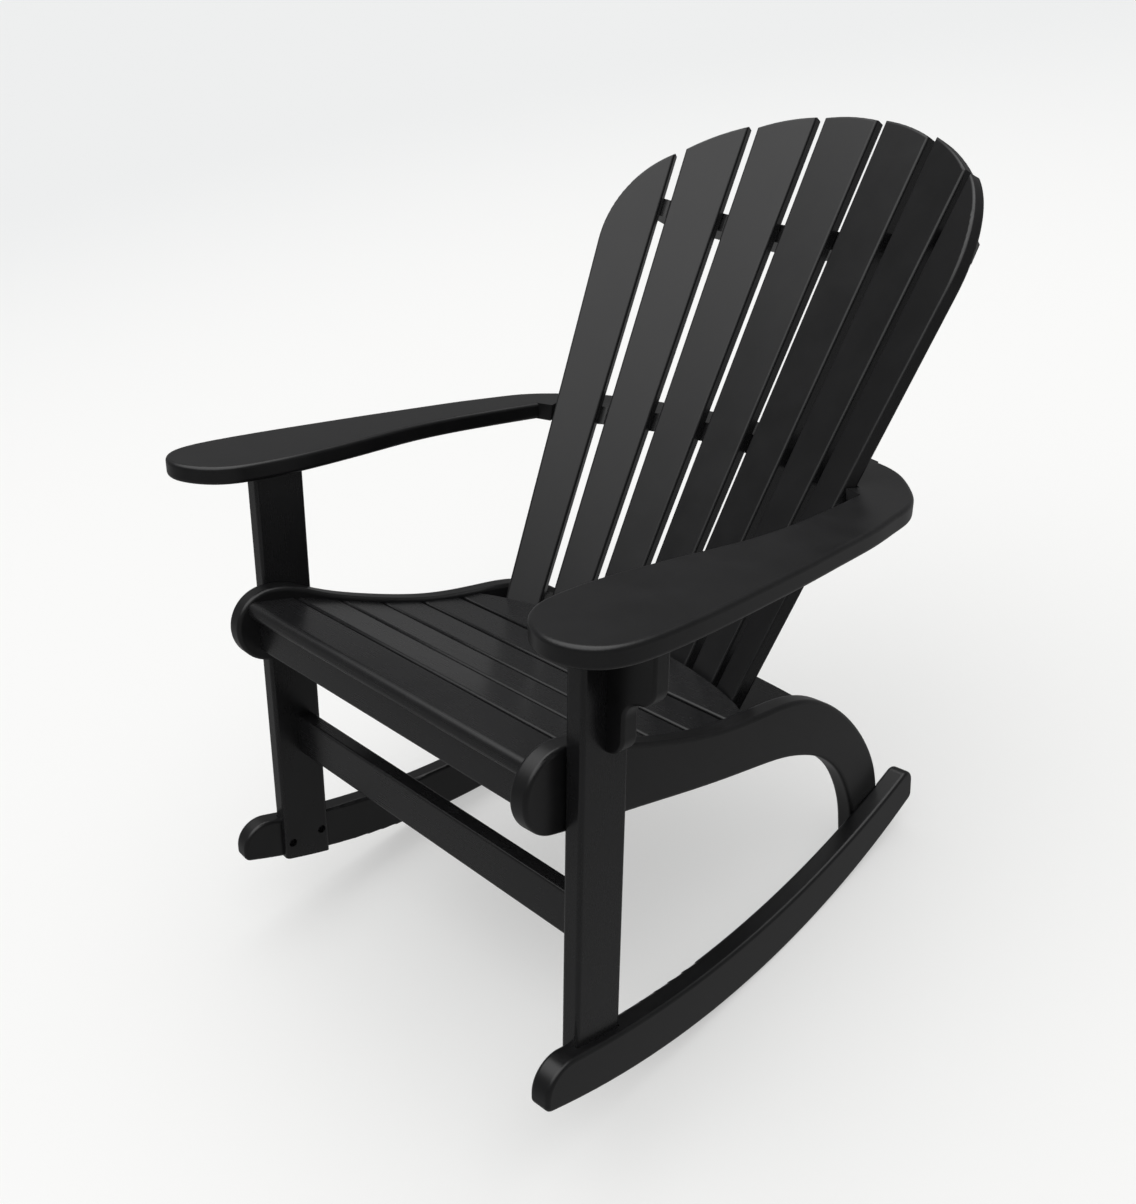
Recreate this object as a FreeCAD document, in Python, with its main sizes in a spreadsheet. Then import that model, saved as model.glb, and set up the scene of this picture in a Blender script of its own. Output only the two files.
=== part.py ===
import FreeCAD, Part
import math
import os
import Sketcher

# Rocking chair made of rounded boards: two rockers carry two front legs and two
# S-shaped stringers, a dished slat seat lies between the stringers, and a fan of
# seven tapered slats forms a conical back on three curved rails.
# X is the sitter's left, -Y is the front, +Z is up, millimetres.

os.makedirs("parts", exist_ok=True)
doc = FreeCAD.newDocument("rocking_chair")
Vector = FreeCAD.Vector

SIZES = [
    ("board", 25, "thickness of legs, stringers and rails"),
    ("thin_board", 22, "thickness of seat slats, apron, stretcher and brackets"),
    ("round_over", 5, "edge rounding of the thick boards"),
    ("small_round", 3.5, "edge rounding of slats and thin boards"),
    ("setback", 346, "leg front face ahead of the footprint centre"),
    ("leg_width", 68, "front leg width"),
    ("leg_plane", 287, "half width between the stringer outer faces at the legs"),
    ("toe_angle", 2.9, "toe-in of each side frame in degrees"),
    ("rocker_thick", 27.5, "rocker thickness"),
    ("rocker_radius", 960, "radius of the rocker running edge"),
    ("rocker_low", 184, "lowest point of the running edge behind the leg front"),
    ("rocker_turn", 1.17, "extra toe-in of the rocker in degrees"),
    ("leg_proud", 9, "front leg standing proud of the rocker inner face"),
    ("rocker_front", 57, "rocker nose ahead of the leg front"),
    ("rocker_rear", 657, "rocker tail behind the leg front"),
    ("rocker_nose_height", 88, "height of the rocker nose"),
    ("rocker_tail_height", 176, "height of the rocker tail"),
    ("rocker_tail_rake", 7, "forward lean of the rocker tail's end face"),
    ("rocker_nose_round", 36, "upper rounding of the rocker nose"),
    ("rocker_tail_round", 17, "upper rounding of the rocker tail"),
    ("arm_top", 600, "height of the arm top"),
    ("arm_thick", 23, "arm thickness"),
    ("arm_joint", 216, "half width at which arm and back rail meet"),
    ("seat_gap", 6, "gap between seat slats"),
    ("seat_front_round", 9, "edge rounding at the front of the seat"),
    ("seat_back_gap", 3, "gap between the rear seat slat and the back slats"),
    ("apron_front", 25, "apron front face ahead of the leg front"),
    ("apron_drop", 358, "height of the apron lower edge"),
    ("stretcher_front", 34, "stretcher front face behind the leg front"),
    ("stretcher_top", 235, "height of the stretcher upper edge"),
    ("stretcher_depth", 57, "height of the stretcher board"),
    ("back_lean", 29, "recline of the back from upright in degrees"),
    ("back_turn", 9, "angle between neighbouring back slats in degrees"),
    ("back_thick", 17, "back slat thickness"),
    ("slat_gap", 13.5, "gap between back slats"),
    ("slat_pitch", 71.8, "slat pitch at the back datum"),
    ("slat_taper", 0.0417, "growth of the slat pitch per millimetre of length"),
    ("back_datum_y", 459.7, "back datum behind the leg front"),
    ("back_datum_z", 447.2, "height of the back datum"),
    ("back_foot", 172, "slat length below the datum"),
    ("arch_radius", 375, "radius of the arched top"),
    ("arch_centre", 241, "arch centre above the datum along the back"),
    ("outer_curve", 165, "radius of the curved top of the outer slats"),
    ("outer_curve_start", 388, "height at which that curve leaves the outer edge"),
    ("upper_rail_at", 455, "upper rail above the datum along the back"),
    ("upper_rail_reach", 2.95, "half length of the upper rail in slat pitches"),
    ("rail_depth", 45, "depth of the upper rail"),
    ("rail_end_cut", 14, "shortening of the upper rail's rear edge at each end"),
    ("rail_end_drop", 5, "extra depth of the upper rail at its ends"),
    ("arm_rail_rear", 618, "rear edge of the arm-level rail behind the leg front"),
    ("arm_hook", 478, "front of the arm ends behind the back, behind the leg front"),
    ("arm_slat_gap", 4, "room beside the outer back slat in its seat on the arm"),
    ("lower_rail_top", 325, "height of the lower rail top"),
    ("lower_rail_ends", 440, "rear ends of the lower rail behind the leg front"),
    ("lower_rail_rear", 462, "rear edge of the lower rail behind the leg front"),
    ("screw_head", 11, "screw head diameter"),
    ("screw_head_height", 3.5, "height of the screw head"),
    ("screw_shank", 5, "screw shank diameter"),
    ("screw_length", 26, "screw length under the head"),
    ("screw_tip", 4, "length of the tapered screw tip"),
    ("hole_clearance", 0.3, "room round a screw shank in its hole"),
    ("pilot_depth", 9.5, "depth of the blind screw holes in the rockers"),
    ("recess_bore", 12, "diameter of the screw recess"),
    ("recess_depth", 7, "depth of the screw recess"),
]
sheet = doc.addObject("Spreadsheet::Sheet", "Sizes")
for row, (alias, value, note) in enumerate(SIZES, start=1):
    sheet.set("A%d" % row, note)
    sheet.set("B%d" % row, str(value))
    sheet.setAlias("B%d" % row, alias)
doc.recompute()


def size(alias):
    return float(sheet.get(alias))


LEG_MID = size("leg_width") / 2
FRONT = -size("setback")
ARM_UNDER = size("arm_top") - size("arm_thick")

# places seen from the side: distance behind the leg front, height
LEG_SCREWS = [(11, 41), (57, 46)]
REAR_SCREWS = [(572, 112), (591, 141)]
ROCKER_TOP_MIDDLE = (187, 65.5)

# the stringer's foot stands on the running edge between these distances
FOOT_FRONT, FOOT_MIDDLE, FOOT_REAR = 557, 586, 614
STRINGER_TOP = [(67, 417), (156, 386), (250, 364), (325, 357), (392, 351), (447, 333),
                (500, 299), (547, 254), (577, 214), (596, 176), (606, 141)]
STRINGER_UNDER = [(552, 106), (545, 137), (535, 163), (520, 190), (502, 214), (482, 233),
                  (456, 251), (425, 265), (390, 276), (325, 287), (256, 296), (175, 309), (67, 327)]
FOOT_HOUSING = [(562, 40), (556, 76), (551, 106), (544, 137), (534, 163), (519, 190),
                (519, 240), (598, 240), (598, 176), (608, 141), (616, 101), (620, 60)]

# the arm's edge seen from above, from its rear end round the front to the back
# slats: half width, distance behind the leg front
ARM_EDGE = [(size("arm_joint"), 585), (240, 577), (262, 565), (284, 547), (305, 526), (326, 501),
            (342, 472), (352, 436), (364, 385), (376, 312), (387, 240), (396, 170), (404, 104),
            (409, 50), (411, 3), (408, -32), (397, -58), (375, -75), (347, -80), (319, -71),
            (297, -54), (283, -30), (277, 2), (275, 40), (279, 110), (288, 187), (295, 245),
            (296, 300), (291, 366), (285, 416), (279, 460)]

# cutting outlines for the ends of cross boards run well past the chair
CUT_FRONT, CUT_SIDE, CUT_REAR = -150, 400, 700

finished = []


# helpers for bodies, sketches and features

def new_body(label):
    body = doc.addObject("PartDesign::Body", label)
    body.Label = label
    finished.append(body)
    return body


def sketch_on(body, role, offset=None):
    plane = next(item for item in body.Origin.OriginFeatures if item.Role == role)
    sketch = body.newObject("Sketcher::SketchObject", body.Label + "_sketch")
    sketch.AttachmentSupport = [(plane, "")]
    sketch.MapMode = "FlatFace"
    if offset is not None:
        sketch.AttachmentOffset = offset
    return sketch


def flat(point):
    return Vector(point[0], point[1], 0)


def draw(sketch, segments):
    """Draws a closed outline: each segment is its kind, its points and, for a
    spline that runs on smoothly into its neighbours, its two end directions."""
    for kind, points, *ends in segments:
        corners = [flat(point) for point in points]
        if kind == "line":
            sketch.addGeometry(Part.LineSegment(corners[0], corners[1]), False)
        elif kind == "arc":
            sketch.addGeometry(Part.Arc(corners[0], corners[1], corners[2]), False)
        else:
            curve = Part.BSplineCurve()
            if ends:
                curve.interpolate(Points=corners, InitialTangent=flat(ends[0]), FinalTangent=flat(ends[1]))
            else:
                curve.interpolate(Points=corners)
            sketch.addGeometry(curve, False)


def polygon(sketch, points):
    closed = list(points) + [points[0]]
    draw(sketch, [("line", pair) for pair in zip(closed[:-1], closed[1:])])


def rectangle(sketch, low, high, width_alias=None, height_alias=None):
    """Rectangle pinned at its low corner, its sides driven by the sheet."""
    polygon(sketch, [low, (high[0], low[1]), high, (low[0], high[1])])
    for first, second in ((0, 1), (1, 2), (2, 3), (3, 0)):
        sketch.addConstraint(Sketcher.Constraint("Coincident", first, 2, second, 1))
    sketch.addConstraint(Sketcher.Constraint("Horizontal", 0))
    sketch.addConstraint(Sketcher.Constraint("Vertical", 1))
    sketch.addConstraint(Sketcher.Constraint("Horizontal", 2))
    sketch.addConstraint(Sketcher.Constraint("Vertical", 3))
    sketch.addConstraint(Sketcher.Constraint("DistanceX", -1, 1, 0, 1, low[0]))
    sketch.addConstraint(Sketcher.Constraint("DistanceY", -1, 1, 0, 1, low[1]))
    wide = sketch.addConstraint(Sketcher.Constraint("DistanceX", 0, 1, 0, 2, high[0] - low[0]))
    tall = sketch.addConstraint(Sketcher.Constraint("DistanceY", 1, 1, 1, 2, high[1] - low[1]))
    if width_alias:
        sketch.setExpression("Constraints[%d]" % wide, "Sizes." + width_alias)
    if height_alias:
        sketch.setExpression("Constraints[%d]" % tall, "Sizes." + height_alias)


def pad(body, sketch, expression, backwards=False, middle=False):
    feature = body.newObject("PartDesign::Pad", body.Label + "_pad")
    feature.Profile = sketch
    feature.setExpression("Length", expression)
    feature.Reversed = backwards
    feature.Midplane = middle
    sketch.Visibility = False
    doc.recompute()
    return feature


def pocket(body, sketch, backwards=False, middle=False, depth=None):
    feature = body.newObject("PartDesign::Pocket", body.Label + "_pocket")
    feature.Profile = sketch
    if depth is None:
        feature.Type = "ThroughAll"
    else:
        feature.setExpression("Length", depth)
    feature.Reversed = backwards
    feature.Midplane = middle
    sketch.Visibility = False
    before = body.Shape.Volume
    doc.recompute()
    if not body.Shape.Volume < before - 1:
        raise RuntimeError("pocket removed nothing from " + body.Label)
    return feature


def round_edges(body, radius, chosen):
    feature = body.Tip
    names = []
    for index, edge in enumerate(feature.Shape.Edges, start=1):
        if chosen(edge):
            names.append("Edge%d" % index)
    rounding = body.newObject("PartDesign::Fillet", body.Label + "_rounding")
    rounding.Base = (feature, names)
    rounding.setExpression("Radius", radius)
    doc.recompute()
    if "Invalid" in rounding.State or rounding.Shape.isNull():
        raise RuntimeError("rounding failed on " + body.Label)
    return rounding


def spread(edge, axis):
    box = edge.BoundBox
    low = (box.XMin, box.YMin, box.ZMin)[axis]
    high = (box.XMax, box.YMax, box.ZMax)[axis]
    return high - low


def middle_of(edge):
    return edge.valueAt((edge.FirstParameter + edge.LastParameter) / 2)


# side frames: the outer face of the stringer is the local plane x = 0 and the
# local y runs back from the middle of the front leg

def side_placement(side, inset=0.0, turn=0.0):
    angle = side * (size("toe_angle") + turn)
    place = Vector(side * (size("leg_plane") + inset), FRONT + LEG_MID, 0)
    return FreeCAD.Placement(place, FreeCAD.Rotation(Vector(0, 0, 1), angle))


def rocker_placement(side):
    return side_placement(side, size("leg_proud"), size("rocker_turn"))


def running_edge(y):
    """Height of the rocker running edge at a distance behind the leg front."""
    radius = size("rocker_radius")
    return radius - math.sqrt(radius ** 2 - (y - size("rocker_low")) ** 2)


def local(points):
    """Shifts side view points so that their y starts at the leg middle."""
    return [(y - LEG_MID, z) for y, z in points]


def make_front_leg(side, label):
    body = new_body(label)
    body.Placement = side_placement(side)
    width = size("leg_width")
    sketch = sketch_on(body, "YZ_Plane")
    foot = local([(0, running_edge(0)), (LEG_MID, running_edge(LEG_MID)), (width, running_edge(width))])
    head = local([(width, ARM_UNDER), (0, ARM_UNDER)])
    draw(sketch, [
        ("arc", foot),
        ("line", (foot[2], head[0])),
        ("line", head),
        ("line", (head[1], foot[0])),
    ])
    pad(body, sketch, "Sizes.board", backwards=side < 0)
    round_edges(body, "Sizes.round_over", lambda edge: spread(edge, 2) > 300)
    for y, z in LEG_SCREWS:
        add_recess(body, side, y, z, 0.0)
    return body


def add_recess(body, side, y, z, face):
    """Counterbored hole through a board from its inner face."""
    for radius, depth in (("recess_bore", "Sizes.recess_depth"), ("screw_shank", None)):
        offset = FreeCAD.Placement(Vector(0, 0, face), FreeCAD.Rotation())
        sketch = sketch_on(body, "YZ_Plane", offset)
        clearance = 0.0 if depth else size("hole_clearance")
        centre = Vector(y - LEG_MID, z, 0)
        ring = Part.Circle(centre, Vector(0, 0, 1), size(radius) / 2 + clearance)
        sketch.addGeometry(ring, False)
        pocket(body, sketch, backwards=side > 0, depth=depth)


def stringer_outline():
    """S-shaped side view: round nose, dished upper edge, arch and rear foot."""
    foot_rear = (FOOT_REAR, running_edge(FOOT_REAR))
    foot_front = (FOOT_FRONT, running_edge(FOOT_FRONT))
    foot_middle = (FOOT_MIDDLE, running_edge(FOOT_MIDDLE))
    nose_radius = 49.0
    nose_centre = (-4.0, 389.0)
    chin = math.radians(12)
    nose_top = (nose_centre[0], nose_centre[1] + nose_radius)
    nose_tip = (nose_centre[0] - nose_radius, nose_centre[1])
    nose_low = (nose_centre[0] - nose_radius * math.sin(chin), nose_centre[1] - nose_radius * math.cos(chin))
    top = [nose_top] + STRINGER_TOP + [foot_rear]
    under = [foot_front] + STRINGER_UNDER + [nose_low]
    return [
        ("spline", local(top), (1, 0), (0.15, -1)),
        ("arc", local([foot_rear, foot_middle, foot_front])),
        ("spline", local(under), (-0.15, 1), (-math.cos(chin), math.sin(chin))),
        ("arc", local([nose_low, nose_tip, nose_top])),
    ]


def make_stringer(side, label):
    body = new_body(label)
    body.Placement = side_placement(side)
    sketch = sketch_on(body, "YZ_Plane")
    draw(sketch, stringer_outline())
    pad(body, sketch, "Sizes.board", backwards=side > 0)
    round_edges(body, "Sizes.round_over", lambda edge: spread(edge, 0) < 0.01)
    for y, z in REAR_SCREWS:
        add_recess(body, side, y, z, -side * size("board"))
    return body


def make_rocker(side, label):
    body = new_body(label)
    body.Placement = rocker_placement(side)
    front = -size("rocker_front")
    rear = size("rocker_rear")
    sketch = sketch_on(body, "YZ_Plane")
    tail_low = (rear, running_edge(rear))
    tail_high = (rear - size("rocker_tail_rake"), size("rocker_tail_height"))
    nose_low = (front, running_edge(front))
    nose_high = (front, size("rocker_nose_height"))
    draw(sketch, [
        ("arc", local([nose_low, (size("rocker_low"), 0), tail_low])),
        ("line", local([tail_low, tail_high])),
        ("arc", local([tail_high, ROCKER_TOP_MIDDLE, nose_high])),
        ("line", local([nose_high, nose_low])),
    ])
    pad(body, sketch, "Sizes.rocker_thick", backwards=side < 0)

    def corner(edge, y, upper):
        centre = middle_of(edge)
        near = abs(centre.y - (y - LEG_MID)) < 12
        tall = centre.z > (60 if y < 0 else 150)
        return spread(edge, 0) > 1 and near and tall == upper

    round_edges(body, "Sizes.rocker_nose_round", lambda edge: corner(edge, front, True))
    round_edges(body, "Sizes.rocker_tail_round", lambda edge: corner(edge, rear, True))
    round_edges(body, "2 * Sizes.round_over",
                lambda edge: corner(edge, rear, False) or corner(edge, front, False))
    round_edges(body, "Sizes.round_over", lambda edge: spread(edge, 0) < 0.01)
    cut_leg_housing(body, side)
    cut_rear_housing(body, side)
    cut_pilot_holes(body, side, LEG_SCREWS, size("board"))
    cut_pilot_holes(body, side, REAR_SCREWS, 0.0)
    return body


def housing_plane(side, depth):
    """Plane of the side frame at a depth, seen from the turned rocker."""
    upright = FreeCAD.Placement(Vector(), FreeCAD.Rotation(Vector(0, 1, 0), Vector(0, 0, 1), Vector(1, 0, 0), "ZXY"))
    frame = rocker_placement(side).inverse().multiply(side_placement(side))
    shift = FreeCAD.Placement(Vector(0, 0, side * depth), FreeCAD.Rotation())
    return upright.inverse().multiply(frame).multiply(upright).multiply(shift)


def cut_leg_housing(body, side):
    sketch = sketch_on(body, "YZ_Plane", housing_plane(side, size("board")))
    rectangle(sketch, (-LEG_MID, -20), (LEG_MID, 130), "leg_width")
    pocket(body, sketch, backwards=side < 0)


def cut_rear_housing(body, side):
    sketch = sketch_on(body, "YZ_Plane", housing_plane(side, 0))
    polygon(sketch, local(FOOT_HOUSING))
    pocket(body, sketch, backwards=side < 0)


def cut_pilot_holes(body, side, points, depth):
    """Blind holes for the screw tips, square to the leg or foot they hold."""
    sketch = sketch_on(body, "YZ_Plane", housing_plane(side, depth))
    for y, z in points:
        hole = Part.Circle(Vector(y - LEG_MID, z, 0), Vector(0, 0, 1), size("screw_shank") / 2 + size("hole_clearance"))
        sketch.addGeometry(hole, False)
    pocket(body, sketch, backwards=side > 0, depth="Sizes.pilot_depth")


for side, word in ((1, "left"), (-1, "right")):
    make_rocker(side, "rocker_" + word)
    make_front_leg(side, "front_leg_" + word)
    make_stringer(side, "seat_stringer_" + word)


# boards across the chair are cut off at the inner faces of the side frames

def cross_board(label, section, face_depth):
    """Pads a side view section across the chair and trims both ends."""
    body = new_body(label)
    body.Placement = FreeCAD.Placement(Vector(0, FRONT, 0), FreeCAD.Rotation())
    sketch = sketch_on(body, "YZ_Plane")
    draw(sketch, section)
    pad(body, sketch, "2 * Sizes.leg_plane + 40", middle=True)
    trim = sketch_on(body, "XY_Plane")
    for side in (1, -1):
        polygon(trim, [(side * end_plane(CUT_FRONT, face_depth), CUT_FRONT), (side * CUT_SIDE, CUT_FRONT),
                       (side * CUT_SIDE, CUT_REAR), (side * end_plane(CUT_REAR, face_depth), CUT_REAR)])
    pocket(body, trim, middle=True)
    return body


def end_plane(y, face_depth):
    """Half width at a side frame face that lies face_depth inside the leg plane."""
    angle = math.radians(size("toe_angle"))
    return size("leg_plane") - face_depth / math.cos(angle) - (y - LEG_MID) * math.tan(angle)


def rounded_section(low, high, thick, radius, front_radius=None):
    """Board section from its two upper corners, with rounded upper edges."""
    if front_radius is None:
        front_radius = radius
    run = Vector(high[0] - low[0], high[1] - low[1], 0)
    length = run.Length
    run.normalize()
    down = Vector(run.y, -run.x, 0)
    start = Vector(low[0], low[1], 0)

    def spot(along, deep):
        point = start + run * along + down * deep
        return (point.x, point.y)

    def bend(along, deep, radius_here, way_along, way_deep):
        slack = radius_here * (1 - math.sqrt(0.5))
        return spot(along + way_along * slack, deep + way_deep * slack)

    back = radius
    front = front_radius
    return [
        ("line", (spot(front, 0), spot(length - back, 0))),
        ("arc", (spot(length - back, 0), bend(length, 0, back, -1, 1), spot(length, back))),
        ("line", (spot(length, back), spot(length, thick - back))),
        ("arc", (spot(length, thick - back), bend(length, thick, back, -1, -1), spot(length - back, thick))),
        ("line", (spot(length - back, thick), spot(front, thick))),
        ("arc", (spot(front, thick), bend(0, thick, front, 1, -1), spot(0, thick - front))),
        ("line", (spot(0, thick - front), spot(0, front))),
        ("arc", (spot(0, front), bend(0, 0, front, 1, 1), spot(front, 0))),
    ]


# upper line of the dished seat at the gaps between its slats
SEAT_LINE = [(-36, 427), (31, 418), (97, 397), (160, 378), (224, 363), (290, 353), (384, 349)]


def seat_slat_corners(index):
    low = SEAT_LINE[index]
    high = SEAT_LINE[index + 1]
    length = math.hypot(high[0] - low[0], high[1] - low[1])
    half = size("seat_gap") / 2 / length
    start = half if index else 0
    stop = 1 - half
    dy = high[0] - low[0]
    dz = high[1] - low[1]
    return (low[0] + dy * start, low[1] + dz * start), (low[0] + dy * stop, low[1] + dz * stop)


def make_seat_slat(index, label):
    low, high = seat_slat_corners(index)
    thick = size("thin_board")
    radius = size("small_round")
    front_radius = size("seat_front_round") if index == 0 else radius
    section = rounded_section(low, high, thick, radius, front_radius)
    return cross_board(label, section, size("board"))


SEAT_LABELS = ["seat_slat_front", "seat_slat_2", "seat_slat_3", "seat_slat_4", "seat_slat_5", "seat_slat_rear"]
seat_bodies = []
for index, label in enumerate(SEAT_LABELS):
    seat_bodies.append(make_seat_slat(index, label))


def make_apron():
    low, high = seat_slat_corners(0)
    slope = (high[1] - low[1]) / (high[0] - low[0])
    thick = size("thin_board") * math.hypot(1, slope)
    front_y = -size("apron_front")
    rear_y = front_y + size("thin_board")
    top_front = low[1] + slope * (front_y - low[0]) - thick
    top_rear = low[1] + slope * (rear_y - low[0]) - thick
    foot = size("apron_drop")
    corners = [(front_y, foot), (rear_y, foot), (rear_y, top_rear), (front_y, top_front), (front_y, foot)]
    body = cross_board("apron", [("line", pair) for pair in zip(corners[:-1], corners[1:])], size("board"))
    round_edges(body, "Sizes.small_round",
                lambda edge: spread(edge, 0) > 100 and middle_of(edge).z < foot + 5)
    return body


def make_stretcher():
    front_y = size("stretcher_front")
    top = size("stretcher_top")
    low = top - size("stretcher_depth")
    section = rounded_section((front_y, low), (front_y, top), size("thin_board"), size("small_round"))
    return cross_board("front_stretcher", section, 0.0)


make_apron()
make_stretcher()


# the back: the slats lie on a cone whose tip is on the line of the centre slat

LEAN = math.radians(size("back_lean"))
UP_BACK = Vector(0, math.sin(LEAN), math.cos(LEAN))
FORWARD = Vector(0, -math.cos(LEAN), math.sin(LEAN))
ACROSS = Vector(1, 0, 0)
DATUM = Vector(0, FRONT + size("back_datum_y"), size("back_datum_z"))
TIP_LENGTH = size("slat_pitch") / size("slat_taper")


def fan_station(number):
    """Unit section of the cone at a slat joint, numbered from the middle."""
    turn = math.radians(size("back_turn"))
    across = 0.5
    ahead = 0.0
    for step in range(1, int(abs(number) + 0.5)):
        across += math.cos(step * turn)
        ahead += math.sin(step * turn)
    return math.copysign(across, number), ahead


def back_point(station, along):
    """Point of the back front face at a joint line and a distance along the back."""
    scale = size("slat_taper") * (TIP_LENGTH + along)
    return DATUM + UP_BACK * along + ACROSS * (station[0] * scale) + FORWARD * (station[1] * scale)


def slat_middle(number):
    left = fan_station(number - 0.5)
    right = fan_station(number + 0.5)
    return (left[0] + right[0]) / 2, (left[1] + right[1]) / 2


def slat_axes(number):
    """Axes of a slat: across its width, up its length and out of its front face."""
    middle = slat_middle(number)
    up = back_point(middle, 100) - back_point(middle, 0)
    up.normalize()
    left = back_point(fan_station(number - 0.5), 0)
    right = back_point(fan_station(number + 0.5), 0)
    out = (right - left).cross(up)
    out.normalize()
    across = up.cross(out)
    return across, up, out


def slat_placement(number, depth=0.0):
    across, up, out = slat_axes(number)
    rotation = FreeCAD.Rotation(across, up, out, "ZXY")
    return FreeCAD.Placement(back_point(slat_middle(number), 0) - out * depth, rotation)


def arch_along(station):
    """Distance along the back at which a joint line meets the arched top."""
    along = size("upper_rail_at")
    for _ in range(60):
        across = station[0] * size("slat_taper") * (TIP_LENGTH + along)
        along = size("arch_centre") + math.sqrt(size("arch_radius") ** 2 - across ** 2)
    return along


def slat_outline_points(number):
    """Corners of a slat in its own plane, gaps taken off on both sides."""
    frame = slat_placement(number).inverse()
    half_gap = size("slat_gap") / 2

    def spot(station, along, inset):
        point = frame.multVec(back_point(station, along))
        return (point.x + inset, point.y)

    left = fan_station(number - 0.5)
    right = fan_station(number + 0.5)
    middle = slat_middle(number)
    foot = -size("back_foot")
    return {
        "foot_left": (spot(left, foot, half_gap)[0], spot(middle, foot, 0)[1]),
        "foot_right": (spot(right, foot, -half_gap)[0], spot(middle, foot, 0)[1]),
        "top_left": spot(left, arch_along(left), half_gap),
        "top_right": spot(right, arch_along(right), -half_gap),
        "top_middle": spot(middle, arch_along(middle), 0),
    }


def outer_slat_top(number, corner):
    """Start, middle and end of the arc that runs on smoothly from an outer slat's outer edge."""
    near, far = ("right", "left") if number > 0 else ("left", "right")
    foot = flat(corner["foot_" + near])
    along = (flat(corner["top_" + near]) - foot).normalize()
    inward = Vector(-math.copysign(along.y, number), math.copysign(along.x, number), 0)
    start = foot + along * ((size("outer_curve_start") - foot.y) / along.y)
    inner_foot = flat(corner["foot_" + far])
    inner_way = (flat(corner["top_" + far]) - inner_foot).normalize()

    def spot(angle):
        radius = size("outer_curve")
        return start + inward * (radius * (1 - math.cos(angle))) + along * (radius * math.sin(angle))

    low, high = 0.0, math.pi / 2
    for _ in range(50):
        angle = (low + high) / 2
        beyond = math.copysign(1, number) * inner_way.cross(spot(angle) - inner_foot).z
        if beyond > 0:
            high = angle
        else:
            low = angle
    return [(point.x, point.y) for point in (start, spot(angle / 2), spot(angle))]


def make_back_slat(number, label):
    body = new_body(label)
    body.Placement = slat_placement(number)
    corner = slat_outline_points(number)
    left = corner["top_left"]
    right = corner["top_right"]
    middle = corner["top_middle"]
    if number == 3:
        right, middle, left = outer_slat_top(number, corner)
    elif number == -3:
        left, middle, right = outer_slat_top(number, corner)
    sketch = sketch_on(body, "XY_Plane")
    draw(sketch, [
        ("line", (corner["foot_left"], corner["foot_right"])),
        ("line", (corner["foot_right"], right)),
        ("arc", (right, middle, left)),
        ("line", (left, corner["foot_left"])),
    ])
    pad(body, sketch, "Sizes.back_thick", backwards=True)
    round_edges(body, "Sizes.small_round", lambda edge: spread(edge, 2) < 0.01)
    return body


for number in range(-3, 4):
    make_back_slat(number, "back_slat_%d" % (number + 4))


# rails behind the slats: their front edge has one flat per slat

def rear_line(number, origin, axis_x, axis_y):
    """Rear face of a slat cut by a plane, as a*x + b*y = c in that plane."""
    out = slat_axes(number)[2]
    level = out.dot(back_point(slat_middle(number), 0)) - size("back_thick")
    return out.dot(axis_x), out.dot(axis_y), level - out.dot(origin)


def crossing(first, second):
    cross = first[0] * second[1] - second[0] * first[1]
    x = (first[2] * second[1] - second[2] * first[1]) / cross
    y = (first[0] * second[2] - second[0] * first[2]) / cross
    return (x, y)


def rail_front(origin, axis_x, axis_y, half_width):
    """Corners of the faceted front edge from the right end to the left end."""
    lines = {number: rear_line(number, origin, axis_x, axis_y) for number in range(-3, 4)}
    corners = [crossing(lines[-3], (1, 0, -half_width))]
    for number in range(-3, 3):
        corners.append(crossing(lines[number], lines[number + 1]))
    corners.append(crossing(lines[3], (1, 0, half_width)))
    return corners


def rail_outline(corners, rear_ends, rear_middle):
    """Closed outline: facets in front and one arc behind."""
    right_rear = (-rear_ends[0], rear_ends[1])
    left_rear = rear_ends
    segments = [("line", pair) for pair in zip(corners[:-1], corners[1:])]
    segments.append(("line", (corners[-1], left_rear)))
    segments.append(("arc", (left_rear, (0, rear_middle), right_rear)))
    segments.append(("line", (right_rear, corners[0])))
    return segments


def loft_between(body, low_outline, high_outline, height):
    low = sketch_on(body, "XY_Plane")
    draw(low, low_outline)
    high = sketch_on(body, "XY_Plane", FreeCAD.Placement(Vector(0, 0, height), FreeCAD.Rotation()))
    draw(high, high_outline)
    loft = body.newObject("PartDesign::AdditiveLoft", body.Label + "_loft")
    loft.Profile = low
    loft.Sections = [high]
    loft.Ruled = True
    doc.recompute()
    return loft


def make_upper_rail():
    """Board square to the slats, seen in the tilted frame of the back."""
    body = new_body("upper_back_rail")
    thick = size("board")
    start = size("upper_rail_at") - thick / 2
    rotation = FreeCAD.Rotation(ACROSS, -size("back_lean"))
    base = DATUM + UP_BACK * start
    body.Placement = FreeCAD.Placement(base, rotation)
    outlines = []
    for level in (0, thick):
        origin = DATUM + UP_BACK * (start + level)
        scale = size("slat_taper") * (TIP_LENGTH + start)
        half = size("upper_rail_reach") * scale
        corners = rail_front(origin, ACROSS, -FORWARD, half)
        depth = size("rail_depth")
        end = (half - size("rail_end_cut"), corners[-1][1] + depth + size("rail_end_drop"))
        outlines.append(rail_outline(corners, end, corners[4][1] + depth))
    loft_between(body, outlines[0], outlines[1], thick)
    return body


def level_rail(label, low, high, half_width, rear_ends, rear_middle):
    """Board lying level, its front flats leaning with the slats."""
    body = new_body(label)
    body.Placement = FreeCAD.Placement(Vector(0, FRONT, low), FreeCAD.Rotation())
    outlines = []
    for level in (low, high):
        corners = rail_front(Vector(0, FRONT, level), ACROSS, Vector(0, 1, 0), half_width)
        outlines.append(rail_outline(corners, rear_ends, rear_middle))
    loft_between(body, outlines[0], outlines[1], high - low)
    return body


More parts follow.
